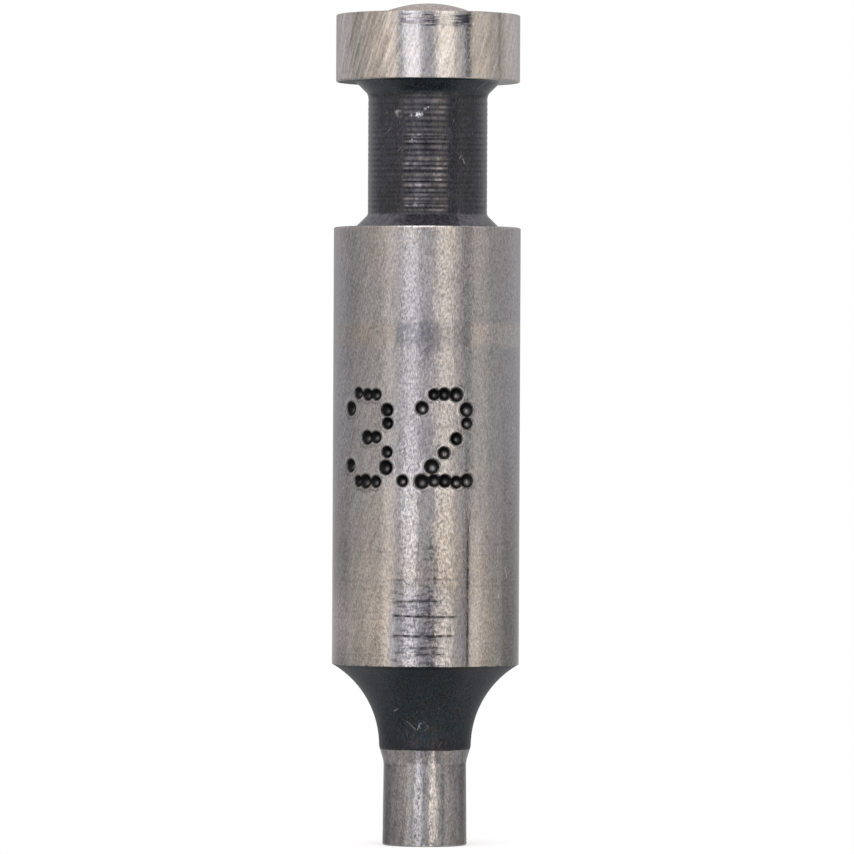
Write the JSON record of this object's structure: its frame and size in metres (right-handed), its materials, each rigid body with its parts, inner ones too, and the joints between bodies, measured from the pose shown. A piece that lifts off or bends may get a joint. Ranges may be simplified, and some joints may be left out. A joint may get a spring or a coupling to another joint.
{
  "type": "piercing punch",
  "caption": "Turned piercing punch with a slim ground point, concave shoulder, round guide shank, retaining groove and crowned head, for a lever press.",
  "frame": {"origin": "centre of the flat cutting face at the end of the point", "axes": "+Z along the turning axis from the point to the crowned head, +X and +Y across it"},
  "size_m": [0.0072, 0.0072, 0.0321],
  "materials": {
    "tool_steel": "ground bright on the head, shank and point, black oxide left on the neck and shoulder"
  },
  "bodies": {
    "root": {"punch": "tool_steel"}
  },
  "joints": []
}
